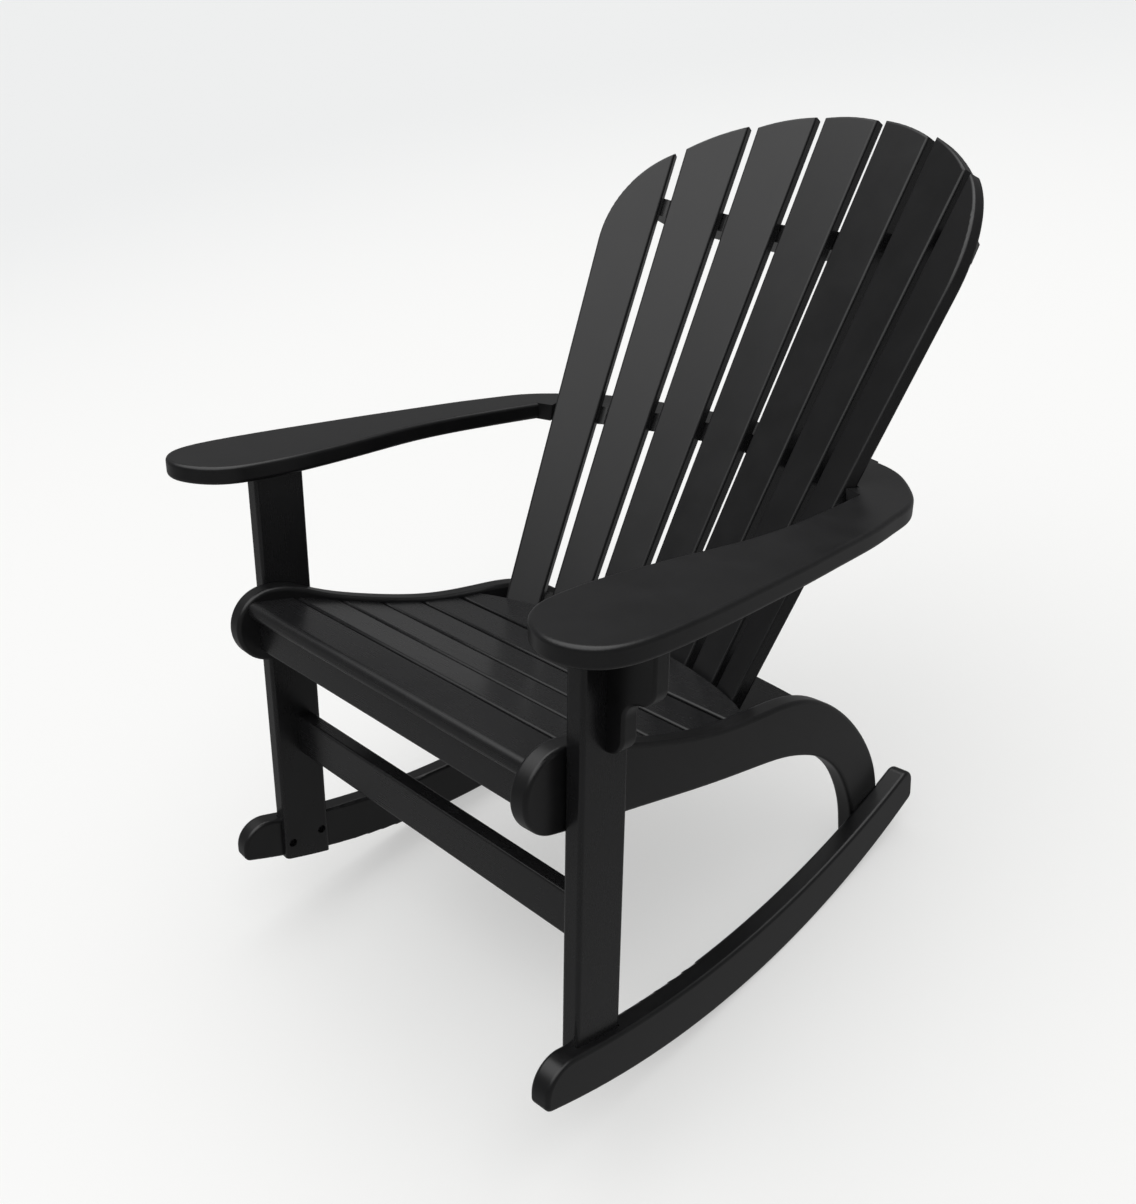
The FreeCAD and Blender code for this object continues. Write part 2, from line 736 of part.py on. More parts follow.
def make_lower_rail():
    top = size("lower_rail_top")
    untrimmed = 265.0
    ends = (untrimmed, size("lower_rail_ends"))
    body = level_rail("lower_back_rail", top - size("board"), top, untrimmed, ends, size("lower_rail_rear"))
    trim = sketch_on(body, "XY_Plane")
    ahead = 200
    for side in (1, -1):
        polygon(trim, [(side * end_plane(ahead, size("board")), ahead), (side * CUT_SIDE, ahead),
                       (side * CUT_SIDE, CUT_REAR), (side * end_plane(CUT_REAR, size("board")), CUT_REAR)])
    pocket(body, trim, middle=True)
    return body


make_upper_rail()
level_rail("arm_level_rail", ARM_UNDER, size("arm_top"), size("arm_joint"),
           ARM_EDGE[0], size("arm_rail_rear"))
make_lower_rail()


# arms: paddle boards whose rear ends hook in behind the outer back slats

def make_arm(side, label):
    body = new_body(label)
    body.Placement = FreeCAD.Placement(Vector(0, FRONT, ARM_UNDER), FreeCAD.Rotation())
    edge_points = [(side * x, y) for x, y in ARM_EDGE]
    joint_x = side * size("arm_joint")
    inner = (joint_x, size("arm_hook"))
    sketch = sketch_on(body, "XY_Plane")
    draw(sketch, [
        ("spline", edge_points),
        ("line", (edge_points[-1], inner)),
        ("line", (inner, edge_points[0])),
    ])
    pad(body, sketch, "Sizes.arm_thick")
    round_edges(body, "Sizes.round_over", lambda edge: spread(edge, 2) < 0.01 and spread(edge, 1) > 300)
    cut_slat_seat(body, side)
    return body


def cut_slat_seat(body, side):
    """Leaning seat on the arm for the rear face of the outer slat."""
    frame = slat_placement(3 * side, size("back_thick"))
    frame.Base = frame.Base - Vector(0, FRONT, ARM_UNDER)
    sketch = sketch_on(body, "XY_Plane", frame)
    inverse = slat_placement(3 * side).inverse()
    along = (size("arm_top") - size("back_datum_z")) / math.cos(LEAN)
    outer = inverse.multVec(back_point(fan_station(3.5 * side), along))
    clear_side = outer.x - side * (size("slat_gap") / 2 - size("arm_slat_gap"))
    past_side = -side * 90
    low, high = outer.y - 60, outer.y + 60
    polygon(sketch, [(past_side, low), (clear_side, low), (clear_side, high), (past_side, high)])
    pocket(body, sketch, backwards=True)


def make_bracket(side, label):
    body = new_body(label)
    body.Placement = side_placement(side)
    plane = FreeCAD.Placement(Vector(0, 0, 1), FreeCAD.Rotation())
    sketch = sketch_on(body, "XZ_Plane", plane)
    face = size("board")

    def spot(out, z):
        return (side * (face + out), z)

    draw(sketch, [
        ("line", (spot(0, 429), spot(0, ARM_UNDER))),
        ("line", (spot(0, ARM_UNDER), spot(60, ARM_UNDER))),
        ("line", (spot(60, ARM_UNDER), spot(60, 514))),
        ("arc", (spot(60, 514), spot(55, 502), spot(44, 495))),
        ("arc", (spot(44, 495), spot(28, 488), spot(22, 472))),
        ("line", (spot(22, 472), spot(22, 452))),
        ("arc", (spot(22, 452), spot(16, 435.5), spot(0, 429))),
    ])
    pad(body, sketch, "Sizes.thin_board", backwards=True)
    round_edges(body, "Sizes.small_round",
                lambda edge: spread(edge, 1) < 0.01 and abs(middle_of(edge).x) > face + 2
                and middle_of(edge).z < ARM_UNDER - 1)
    return body


for side, word in ((1, "left"), (-1, "right")):
    make_arm(side, "arm_" + word)
    make_bracket(side, "arm_bracket_" + word)


def trim_rear_seat_slat():
    """Curves the rear slat and bevels it to clear the leaning back."""
    body = seat_bodies[-1]
    curve = sketch_on(body, "XY_Plane")
    draw(curve, [
        ("arc", ((-270, 311), (0, 380), (270, 311))),
        ("line", ((270, 311), (270, 500))),
        ("line", ((270, 500), (-270, 500))),
        ("line", ((-270, 500), (-270, 311))),
    ])
    pocket(body, curve, middle=True)
    sketches = []
    for level in (300.0, 380.0):
        sketch = sketch_on(body, "XY_Plane", FreeCAD.Placement(Vector(0, 0, level), FreeCAD.Rotation()))
        corners = rail_front(Vector(0, FRONT, level), ACROSS, Vector(0, 1, 0), 275.0)
        shift = (size("back_thick") + size("seat_back_gap")) / math.cos(LEAN)
        ahead = [(x, y - shift) for x, y in corners]
        polygon(sketch, ahead + [(275.0, 560.0), (-275.0, 560.0)])
        sketches.append(sketch)
    cut = body.newObject("PartDesign::SubtractiveLoft", "rear_seat_slat_bevel")
    cut.Profile = sketches[0]
    cut.Sections = [sketches[1]]
    cut.Ruled = True
    doc.recompute()


trim_rear_seat_slat()


# wood screws through the legs and stringer feet into the rockers, one per recess

def screw_solid():
    head_radius = size("screw_head") / 2
    shank_radius = size("screw_shank") / 2
    head_height = size("screw_head_height")
    length = size("screw_length")
    tip = size("screw_tip")
    profile = [
        Vector(0, 0, 0),
        Vector(head_radius - 1, 0, 0),
        Vector(head_radius, 0, 1),
        Vector(head_radius, 0, head_height),
        Vector(shank_radius, 0, head_height),
        Vector(shank_radius, 0, head_height + length - tip),
        Vector(0.4, 0, head_height + length),
        Vector(0, 0, head_height + length),
        Vector(0, 0, 0),
    ]
    return Part.Face(Part.makePolygon(profile)).revolve(Vector(), Vector(0, 0, 1), 360)


def make_screws(label, points, inner_depth):
    solids = []
    depth = size("recess_depth") - size("screw_head_height")
    for side in (1, -1):
        frame = side_placement(side)
        for y, z in points:
            start = Vector(-side * (inner_depth - depth), y - LEG_MID, z)
            way = FreeCAD.Rotation(Vector(0, 0, 1), Vector(side, 0, 0))
            solid = screw_solid()
            solid.Placement = frame.multiply(FreeCAD.Placement(start, way))
            solids.append(solid)
    group = doc.addObject("Part::Feature", label)
    group.Label = label
    group.Shape = Part.makeCompound(solids)
    finished.append(group)


make_screws("front_leg_screws", LEG_SCREWS, 0.0)
make_screws("rear_leg_screws", REAR_SCREWS, size("board"))


# the empty chair stands leaned back, its weight over the line on which the rockers touch the floor

def weight_centre():
    volume = 0.0
    moment = Vector()
    for item in finished:
        for solid in item.Shape.Solids:
            volume += solid.Volume
            moment += solid.CenterOfMass * solid.Volume
    return moment / volume


def stand_at_rest():
    centre = weight_centre()
    lowest = FRONT + size("rocker_low")
    lean = math.degrees(math.atan2(centre.y - lowest, size("rocker_radius") - centre.z))
    turn = FreeCAD.Rotation(ACROSS, -lean)
    for item in finished:
        item.Placement = FreeCAD.Placement(Vector(), turn).multiply(item.Placement)
    doc.recompute()
    boxes = [item.Shape.optimalBoundingBox(True, False) for item in finished]
    middle = (min(box.YMin for box in boxes) + max(box.YMax for box in boxes)) / 2
    shift = Vector(0, -middle, -min(box.ZMin for box in boxes))
    for item in finished:
        item.Placement = FreeCAD.Placement(shift, FreeCAD.Rotation()).multiply(item.Placement)
    doc.recompute()
    print("lean", round(lean, 4), "degrees, moved by", [round(value, 3) for value in shift])


doc.recompute()
stand_at_rest()
for item in finished:
    bad = [state for state in item.State if state in ("Invalid", "Error")]
    if bad or item.Shape.isNull() or not item.Shape.isValid():
        raise RuntimeError("bad object " + item.Label)
for item in finished:
    item.Shape.exportStep("parts/" + item.Label + ".step")
    print(item.Label, round(item.Shape.Volume / 1000), "cm3", len(item.Shape.Solids))
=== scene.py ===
"""Finish, screws and studio for a rocking chair built of rounded black boards.

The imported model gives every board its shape. This file gives the boards their
finish, builds the screws with their drive sockets and sets up floor, light and camera.
"""

import math

import bmesh
import bpy
from mathutils import Euler, Matrix, Vector


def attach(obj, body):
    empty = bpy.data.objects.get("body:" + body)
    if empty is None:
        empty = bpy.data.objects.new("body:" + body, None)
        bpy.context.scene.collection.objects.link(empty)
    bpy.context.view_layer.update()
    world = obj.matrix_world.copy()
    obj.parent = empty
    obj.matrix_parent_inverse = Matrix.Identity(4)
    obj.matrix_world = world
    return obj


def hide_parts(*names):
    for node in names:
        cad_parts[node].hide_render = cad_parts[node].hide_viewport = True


bl_info = {
    "name": "Rounded Board Rocking Chair",
    "version": (1, 0, 0),
    "blender": (4, 5, 0),
    "location": "View3D > Sidebar > Chair",
    "description": "Dresses a rocking chair made of rounded black boards",
    "category": "Object",
}

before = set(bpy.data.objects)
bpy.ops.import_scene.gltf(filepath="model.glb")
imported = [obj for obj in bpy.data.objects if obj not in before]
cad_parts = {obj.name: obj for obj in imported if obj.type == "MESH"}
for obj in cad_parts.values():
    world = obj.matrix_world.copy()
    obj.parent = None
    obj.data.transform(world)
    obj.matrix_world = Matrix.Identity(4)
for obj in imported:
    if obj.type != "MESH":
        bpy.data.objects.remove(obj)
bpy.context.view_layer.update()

MM = 0.001
QUARTER_TURN = math.radians(90)
SIDES = ((1, "left"), (-1, "right"))
WHITE = (1, 1, 1, 1)
BLACK = (0, 0, 0, 1)

# Where the side frames stand while the legs are upright: half width and middle of the
# front leg from the centre of the footprint, and toe-in.
FRAME_HALF_WIDTH = 0.287
LEG_MIDDLE_Y = -0.312
TOE_IN = math.radians(2.9)

# How the slats of the back lie: recline from upright, and the angle between neighbours
# as seen from the front.
BACK_LEAN = math.radians(29)
SLAT_SPREAD = math.radians(2.4)

# The empty chair leans back until its weight is over the line where its rockers touch
# the floor. This matrix carries places worked out for upright legs into that pose.
LEAN_BACK = math.radians(13.3896)
REST = (Matrix.Translation((0, -128.862 * MM, -11.267 * MM))
        @ Matrix.Rotation(-LEAN_BACK, 4, "X"))


def linear(hex_colour):
    """sRGB hex such as #1A1A1B as linear red, green and blue."""
    channels = [int(hex_colour[i:i + 2], 16) / 255 for i in (1, 3, 5)]
    return tuple(c / 12.92 if c <= 0.04045 else ((c + 0.055) / 1.055) ** 2.4 for c in channels)


# ---- settings ----

class BoardFinishSettings(bpy.types.PropertyGroup):
    board_colour: bpy.props.FloatVectorProperty(
        name="Board colour", description="Body colour of the black boards", subtype="COLOR",
        default=linear("#101011"), min=0, max=1)
    faded_colour: bpy.props.FloatVectorProperty(
        name="Faded colour", description="Slightly greyer black of the mottled areas",
        subtype="COLOR", default=linear("#171718"), min=0, max=1)
    # the lighter black of the rounded edges is partly rubbed wear and partly a painted sheen
    edge_wear_and_sheen_colour: bpy.props.FloatVectorProperty(
        name="Edge colour", description="Black of the rounded edges where hands and feet rub",
        subtype="COLOR", default=linear("#202021"), min=0, max=1)
    roughness: bpy.props.FloatProperty(
        name="Roughness", description="Roughness of the satin skin away from lines and edges",
        default=0.29, min=0, max=1, subtype="FACTOR")
    line_spacing: bpy.props.FloatProperty(
        name="Line spacing", description="Spacing of the fine lines drawn along each board",
        default=1.2 * MM, min=0.1 * MM, max=10 * MM, unit="LENGTH")
    line_length: bpy.props.FloatProperty(
        name="Line length", description="Length over which a drawn line stays the same",
        default=90 * MM, min=5 * MM, max=1.0, unit="LENGTH")
    mottle_size: bpy.props.FloatProperty(
        name="Mottle size", description="Size of the patches in colour and gloss",
        default=45 * MM, min=5 * MM, max=1.0, unit="LENGTH")
    pit_size: bpy.props.FloatProperty(
        name="Pit size", description="Spacing of the tiny pits in the skin",
        default=2.0 * MM, min=0.2 * MM, max=20 * MM, unit="LENGTH")
    relief: bpy.props.FloatProperty(
        name="Relief", description="Height of the lines and depth of the pits in the skin",
        default=0.05 * MM, min=0, max=1 * MM, unit="LENGTH")


class ScrewSettings(bpy.types.PropertyGroup):
    steel_colour: bpy.props.FloatVectorProperty(
        name="Steel colour", description="Colour of the blackened steel", subtype="COLOR",
        default=linear("#3A3A3C"), min=0, max=1)
    head_diameter: bpy.props.FloatProperty(
        name="Head diameter", description="Diameter of the screw head", default=11 * MM, min=4 * MM,
        max=20 * MM, unit="LENGTH")
    shank_diameter: bpy.props.FloatProperty(
        name="Shank diameter", description="Diameter of the shank", default=5 * MM, min=2 * MM,
        max=10 * MM, unit="LENGTH")
    length: bpy.props.FloatProperty(
        name="Length", description="Length under the head", default=26 * MM, min=5 * MM,
        max=100 * MM, unit="LENGTH")


class StageSettings(bpy.types.PropertyGroup):
    floor_colour: bpy.props.FloatVectorProperty(
        name="Floor colour", description="Colour of the pale floor around the chair",
        subtype="COLOR", default=linear("#F6F6F5"), min=0, max=1)
    backdrop_colour: bpy.props.FloatVectorProperty(
        name="Backdrop colour", description="Colour of the far floor and behind it",
        subtype="COLOR", default=linear("#EAEBEB"), min=0, max=1)
    floor_glow: bpy.props.FloatProperty(
        name="Floor glow", description="Share of the floor's colour that shadows can't darken",
        default=0.5, min=0, max=1, subtype="FACTOR")
    # near reach and far reach set the painted fall-off of light across the floor
    near_reach: bpy.props.FloatProperty(
        name="Near reach", description="Distance at which the floor starts to darken",
        default=1.6, min=0, max=20, unit="LENGTH")
    far_reach: bpy.props.FloatProperty(
        name="Far reach", description="Distance at which the floor has the backdrop's colour",
        default=6.0, min=0, max=60, unit="LENGTH")
    overhead_light: bpy.props.FloatProperty(
        name="Overhead light", description="Brightness of the wide light above the chair",
        default=1.85, min=0, max=20)
    horizon_light: bpy.props.FloatProperty(
        name="Horizon light", description="Brightness of the surroundings at eye level",
        default=0.16, min=0, max=20)
    ground_light: bpy.props.FloatProperty(
        name="Ground light", description="Brightness that reaches the chair from below",
        default=0.24, min=0, max=20)
    lamp_strength: bpy.props.FloatProperty(
        name="Lamp strength", description="Strength of the soft lamp high behind the chair",
        default=0.12, min=0, max=20)


# ---- materials ----

def add(tree, kind, settings=None, links=None):
    """Adds a node, sets its properties and input values and links its inputs."""
    node = tree.nodes.new(kind)
    for name, value in (settings or {}).items():
        if isinstance(name, str) and hasattr(node, name):
            setattr(node, name, value)
        else:
            node.inputs[name].default_value = value
    for name, source in (links or {}).items():
        tree.links.new(source, node.inputs[name])
    return node


def ramp(tree, source, start, stop, low=0.0, high=1.0, curve="LINEAR"):
    """Carries a value over from the range start to stop to the range low to high."""
    node = add(tree, "ShaderNodeMapRange",
               {"interpolation_type": curve, "From Min": start, "From Max": stop,
                "To Min": low, "To Max": high}, {"Value": source})
    return node.outputs["Result"]


def blend(tree, share, first, second):
    """Mixes two colours, each a fixed colour or another node's output."""
    settings = {"data_type": "RGBA"}
    links = {}
    for key, value in ((0, share), (6, first), (7, second)):
        if isinstance(value, bpy.types.NodeSocket):
            links[key] = value
        else:
            settings[key] = value
    return add(tree, "ShaderNodeMix", settings, links).outputs[2]


def new_material(name):
    material = bpy.data.materials.new(name)
    material.use_nodes = True
    material.node_tree.nodes.clear()
    return material


def satin_board_material(name, turn):
    """Black high-density polyethylene board, extruded and lightly brushed.

    It is a dense waxy plastic coloured all through: a satin skin with fine lines
    along the board, faint mottling and pits, and edges that handling has polished,
    drawn a lighter black that is partly rubbed wear and partly a painted sheen.
    turn is the rotation that lays the board's length along the pattern's X axis.
    """
    finish = bpy.context.scene.board_finish
    body_colour = (*finish.board_colour, 1)
    faded_colour = (*finish.faded_colour, 1)
    # edge colour: the lighter black of the rounded edges, partly rubbed wear and partly painted
    # sheen
    edge_wear_and_sheen_colour = (*finish.edge_wear_and_sheen_colour, 1)
    material = new_material(name)
    tree = material.node_tree
    place = add(tree, "ShaderNodeTexCoord").outputs["Object"]
    along = add(tree, "ShaderNodeMapping", {"vector_type": "POINT", "Rotation": turn},
                {"Vector": place})
    # drawn lines: noise stretched along the board
    stretch = (1 / finish.line_length, 1 / finish.line_spacing, 1 / finish.line_spacing)
    squeezed = add(tree, "ShaderNodeMapping", {"vector_type": "POINT", "Scale": stretch},
                   {"Vector": along.outputs["Vector"]})
    lines = add(tree, "ShaderNodeTexNoise", {"Scale": 1.0, "Detail": 3.0, "Roughness": 0.55},
                {"Vector": squeezed.outputs["Vector"]}).outputs["Fac"]
    # mottling of the melt, in patches a few centimetres long
    patches = add(tree, "ShaderNodeTexNoise",
                  {"Scale": 1 / finish.mottle_size, "Detail": 4.0, "Roughness": 0.6},
                  {"Vector": place}).outputs["Fac"]
    # tiny pits that gas leaves in the skin; real ones are finer, and are drawn
    # this coarse so that they still break up the reflections
    pits = add(tree, "ShaderNodeTexVoronoi", {"feature": "F1", "Scale": 1 / finish.pit_size},
               {"Vector": place})
    pit_depth = ramp(tree, pits.outputs["Distance"], 0.0, 0.22)
    # edges polished by hands, from the curvature of the rounding; the same mask lightens their
    # colour, partly as rubbed wear and partly as a painted sheen
    shape = add(tree, "ShaderNodeNewGeometry")
    edge = ramp(tree, shape.outputs["Pointiness"], 0.52, 0.60)
    # colour: mottled, then streaked along the lines, then lighter at the rounded edges as rubbed
    # wear and painted sheen
    body = blend(tree, ramp(tree, patches, 0.35, 0.70), body_colour, faded_colour)
    streaked = blend(tree, ramp(tree, lines, 0.30, 0.75, high=0.25), body, faded_colour)
    wear_and_sheen_share = add(tree, "ShaderNodeMath", {"operation": "MULTIPLY", 1: 0.5}, {0: edge})
    colour = blend(tree, wear_and_sheen_share.outputs["Value"], streaked, edge_wear_and_sheen_colour)
    # gloss: the patches and lines vary it a little and the edges are smoother
    gloss = ramp(tree, patches, 0.3, 0.7, finish.roughness - 0.02, finish.roughness + 0.03)
    gloss_lines = add(tree, "ShaderNodeMath", {"operation": "MULTIPLY_ADD", 1: 0.06},
                      {0: lines, 2: gloss})
    gloss_edge = add(tree, "ShaderNodeMath", {"operation": "MULTIPLY_ADD", 1: -0.06},
                     {0: edge, 2: gloss_lines.outputs["Value"]})
    line_bump = add(tree, "ShaderNodeBump", {"Strength": 0.18, "Distance": finish.relief},
                    {"Height": lines})
    bump = add(tree, "ShaderNodeBump", {"Strength": 0.12, "Distance": finish.relief},
               {"Height": pit_depth, "Normal": line_bump.outputs["Normal"]})
    shader = add(tree, "ShaderNodeBsdfPrincipled", {"Metallic": 0.0, "IOR": 1.5},
                 {"Base Color": colour, "Roughness": gloss_edge.outputs["Value"],
                  "Normal": bump.outputs["Normal"]})
    add(tree, "ShaderNodeOutputMaterial", {}, {"Surface": shader.outputs["BSDF"]})
    return material


def blackened_steel_material():
    """Blackened steel of the screws: dark, semi-gloss, with the grain of its scale."""
    steel = bpy.context.scene.screw_settings
    material = new_material("Blackened steel, turned")
    tree = material.node_tree
    place = add(tree, "ShaderNodeTexCoord")
    grain_size = 1.5 * MM
    grain = add(tree, "ShaderNodeTexNoise", {"Scale": 1 / grain_size, "Detail": 5.0},
                {"Vector": place.outputs["Object"]}).outputs["Fac"]
    soot = (0.01, 0.01, 0.01, 1)
    colour = blend(tree, ramp(tree, grain, 0.3, 0.7, low=0.55), soot, (*steel.steel_colour, 1))
    gloss = ramp(tree, grain, 0.3, 0.7, 0.28, 0.42)
    bump = add(tree, "ShaderNodeBump", {"Strength": 0.2, "Distance": 0.02 * MM}, {"Height": grain})
    shader = add(tree, "ShaderNodeBsdfPrincipled", {"Metallic": 1.0},
                 {"Base Color": colour, "Roughness": gloss, "Normal": bump.outputs["Normal"]})
    add(tree, "ShaderNodeOutputMaterial", {}, {"Surface": shader.outputs["BSDF"]})
    return material


def dress(names, use, turn):
    """Finishes boards, with the texture turned along them as they lie in the chair."""
    turn = Euler(turn).to_matrix() @ REST.to_3x3().inverted()
    material = satin_board_material("Black polyethylene board, " + use, turn.to_euler())
    for name in names:
        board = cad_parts.get(name)
        if board is None:
            raise RuntimeError("the packed model has no board named " + name)
        board.data.materials.clear()
        board.data.materials.append(material)


# Turns that lay a board's length along the texture's X axis.
ACROSS = (0, 0, 0)
UPRIGHT = (0, QUARTER_TURN, 0)
BACKWARDS = (0, 0, -QUARTER_TURN)


def dress_side_frames(board, use):
    """Finishes a board of each toed-in side frame."""
    for side, word in SIDES:
        dress([board + "_" + word], use + " " + word, (0, 0, -QUARTER_TURN - side * TOE_IN))


# ---- pieces ----

class CHAIR_OT_rockers(bpy.types.Operator):
    """Finishes the two curved rockers"""
    bl_idname = "chair.rockers"
    bl_label = "Rockers"

    def execute(self, context):
        dress_side_frames("rocker", "rocker")
        return {"FINISHED"}


class CHAIR_OT_stringers(bpy.types.Operator):
    """Finishes the S-shaped seat stringers"""
    bl_idname = "chair.stringers"
    bl_label = "Seat stringers"

    def execute(self, context):
        dress_side_frames("seat_stringer", "stringer")
        return {"FINISHED"}


class CHAIR_OT_legs(bpy.types.Operator):
    """Finishes the front legs and the brackets beside them"""
    bl_idname = "chair.legs"
    bl_label = "Legs and brackets"

    def execute(self, context):
        dress(["front_leg_left", "front_leg_right", "arm_bracket_left", "arm_bracket_right"],
              "upright", UPRIGHT)
        return {"FINISHED"}


class CHAIR_OT_seat(bpy.types.Operator):
    """Finishes the seat slats, the apron and the front stretcher"""
    bl_idname = "chair.seat"
    bl_label = "Seat"

    def execute(self, context):
        dress(["seat_slat_front", "seat_slat_2", "seat_slat_3", "seat_slat_4", "seat_slat_5",
               "seat_slat_rear", "apron", "front_stretcher"], "crosswise", ACROSS)
        return {"FINISHED"}


class CHAIR_OT_back(bpy.types.Operator):
    """Finishes the fan of back slats"""
    bl_idname = "chair.back"
    bl_label = "Back slats"

    def execute(self, context):
        middle = 4
        for number in range(1, 8):
            sideways = (number - middle) * SLAT_SPREAD
            turn = Euler((0, QUARTER_TURN - sideways, 0)).to_matrix()
            turn = turn @ Euler((BACK_LEAN, 0, 0)).to_matrix()
            dress(["back_slat_%d" % number], "back slat %d" % number, turn.to_euler())
        return {"FINISHED"}


class CHAIR_OT_rails(bpy.types.Operator):
    """Finishes the three rails behind the back slats"""
    bl_idname = "chair.rails"
    bl_label = "Back rails"

    def execute(self, context):
        dress(["upper_back_rail", "arm_level_rail", "lower_back_rail"], "rail", ACROSS)
        return {"FINISHED"}


class CHAIR_OT_arms(bpy.types.Operator):
    """Finishes the paddle arms"""
    bl_idname = "chair.arms"
    bl_label = "Arms"

    def execute(self, context):
        dress(["arm_left", "arm_right"], "arm", BACKWARDS)
        return {"FINISHED"}


# Screw places seen from the side: distance behind the leg front and height. The head's
# top lies this far towards the chair's middle from the outer plane of the side frame.
LEG_SCREWS = [(11 * MM, 41 * MM), (57 * MM, 46 * MM)]
FOOT_SCREWS = [(572 * MM, 112 * MM), (591 * MM, 141 * MM)]
HEAD_TOP_IN_LEG = -3.5 * MM
HEAD_TOP_IN_FOOT = 21.5 * MM
LEG_MIDDLE = 34 * MM

HEAD_HEIGHT = 3.5 * MM
TIP_LENGTH = 4 * MM
SOCKET_LOBES = 6
ROUND_STEPS = 48


def screw_rings():
    """Rings from the socket floor over the head to the tip: radius, lobe depth, height."""
    steel = bpy.context.scene.screw_settings
    head = steel.head_diameter / 2
    shank = steel.shank_diameter / 2
    return [
        (0.30 * head, 0.06 * head, 2.2 * MM),
        (0.38 * head, 0.07 * head, 2.1 * MM),
        (0.40 * head, 0.08 * head, 0.25 * MM),
        (0.46 * head, 0.02 * head, 0.02 * MM),
        (0.70 * head, 0.0, 0.25 * MM),
        (0.90 * head, 0.0, 0.75 * MM),
        (1.00 * head, 0.0, 1.5 * MM),
        (1.00 * head, 0.0, 3.3 * MM),
        (0.97 * head, 0.0, HEAD_HEIGHT),
        (shank, 0.0, HEAD_HEIGHT),
        (shank, 0.0, HEAD_HEIGHT + steel.length - TIP_LENGTH),
        (0.16 * shank, 0.0, HEAD_HEIGHT + steel.length),
    ]


def screw_mesh(mesh, places):
    """One pan-head wood screw with a six-lobed socket at each place."""
    build = bmesh.new()
    for place in places:
        rows = []
        for radius, lobe, height in screw_rings():
            row = []
            for step in range(ROUND_STEPS):
                angle = 2 * math.pi * step / ROUND_STEPS
                reach = radius + lobe * math.cos(SOCKET_LOBES * angle)
                point = Vector((reach * math.cos(angle), reach * math.sin(angle), height))
                row.append(build.verts.new(place @ point))
            rows.append(row)
        for lower, upper in zip(rows[:-1], rows[1:]):
            for step in range(ROUND_STEPS):
                after = (step + 1) % ROUND_STEPS
                build.faces.new((lower[step], lower[after], upper[after], upper[step]))
        build.faces.new(rows[0])
        build.faces.new(list(reversed(rows[-1])))
    bmesh.ops.recalc_face_normals(build, faces=build.faces)
    build.to_mesh(mesh)
    build.free()


def screw_places(points, head_top):
    """Places of the head tops, each with its Z axis along the screw."""
    places = []
    for side, _ in SIDES:
        origin = Vector((side * FRAME_HALF_WIDTH, LEG_MIDDLE_Y, 0))
        side_frame = Matrix.Translation(origin) @ Matrix.Rotation(side * TOE_IN, 4, "Z")
        for y, z in points:
            spot = Matrix.Translation((-side * head_top, y - LEG_MIDDLE, z))
            outwards = Matrix.Rotation(side * QUARTER_TURN, 4, "Y")
            places.append(REST @ side_frame @ spot @ outwards)
    return places


class CHAIR_OT_screws(bpy.types.Operator):
    """Builds the screws that hold legs and stringer feet to the rockers"""
    bl_idname = "chair.screws"
    bl_label = "Screws"

    def execute(self, context):
        material = blackened_steel_material()
        groups = (("front_leg_screws", LEG_SCREWS, HEAD_TOP_IN_LEG),
                  ("rear_leg_screws", FOOT_SCREWS, HEAD_TOP_IN_FOOT))
        for node, points, head_top in groups:
            mesh = bpy.data.meshes.new(node + "_turned")
            screw_mesh(mesh, screw_places(points, head_top))
            mesh.materials.append(material)
            screws = bpy.data.objects.new(node + "_turned", mesh)
            context.scene.collection.objects.link(screws)
            mesh.shade_smooth()
            edges = screws.modifiers.new("Sharp rims", "EDGE_SPLIT")
            edges.split_angle = math.radians(40)
            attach(screws, "root")
            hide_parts(node)
        return {"FINISHED"}


# ---- stage ----

# The photograph's frame in pixels and the camera that was fitted to it.
PHOTO_WIDTH = 1136
PHOTO_HEIGHT = 1204
FOCAL_PIXELS = 1330.0
CENTRE_PIXEL = (528.9, 632.7)
CAMERA_PLACE = (1.1407, -1.1226, 1.0695)
CAMERA_AZIMUTH = math.radians(49.383)
CAMERA_ELEVATION = math.radians(23.799)
SENSOR_WIDTH = 36

FLOOR_REACH = 120
FLOOR_DROP = 0.5 * MM

# The lamp's direction, softness and distance. Azimuths count from the chair's front
# towards its left.
LAMP_AZIMUTH = math.radians(200)
LAMP_ELEVATION = math.radians(62)
LAMP_SOFTNESS = math.radians(35)
LAMP_DISTANCE = 4


def direction(azimuth, elevation):
    """Unit vector from the chair towards an azimuth and an elevation."""
    return Vector((math.sin(azimuth) * math.cos(elevation),
                   -math.cos(azimuth) * math.cos(elevation),
                   math.sin(elevation)))


def look_back(back):
    """Turn of a camera or lamp that lies in a direction and points at the chair."""
    return (-back).to_track_quat("-Z", "Y")


def make_camera(scene):
    data = bpy.data.cameras.new("Photo camera")
    camera = bpy.data.objects.new("Photo camera", data)
    scene.collection.objects.link(camera)
    long_side = max(PHOTO_WIDTH, PHOTO_HEIGHT)
    data.sensor_fit = "AUTO"
    data.sensor_width = SENSOR_WIDTH
    data.lens = FOCAL_PIXELS * SENSOR_WIDTH / long_side
    data.shift_x = (PHOTO_WIDTH / 2 - CENTRE_PIXEL[0]) / long_side
    data.shift_y = (CENTRE_PIXEL[1] - PHOTO_HEIGHT / 2) / long_side
    data.clip_start = 0.05
    data.clip_end = 400
    camera.location = REST @ Vector(CAMERA_PLACE)
    camera.rotation_mode = "QUATERNION"
    turn = look_back(direction(CAMERA_AZIMUTH, CAMERA_ELEVATION))
    camera.rotation_quaternion = REST.to_quaternion() @ turn
    scene.camera = camera


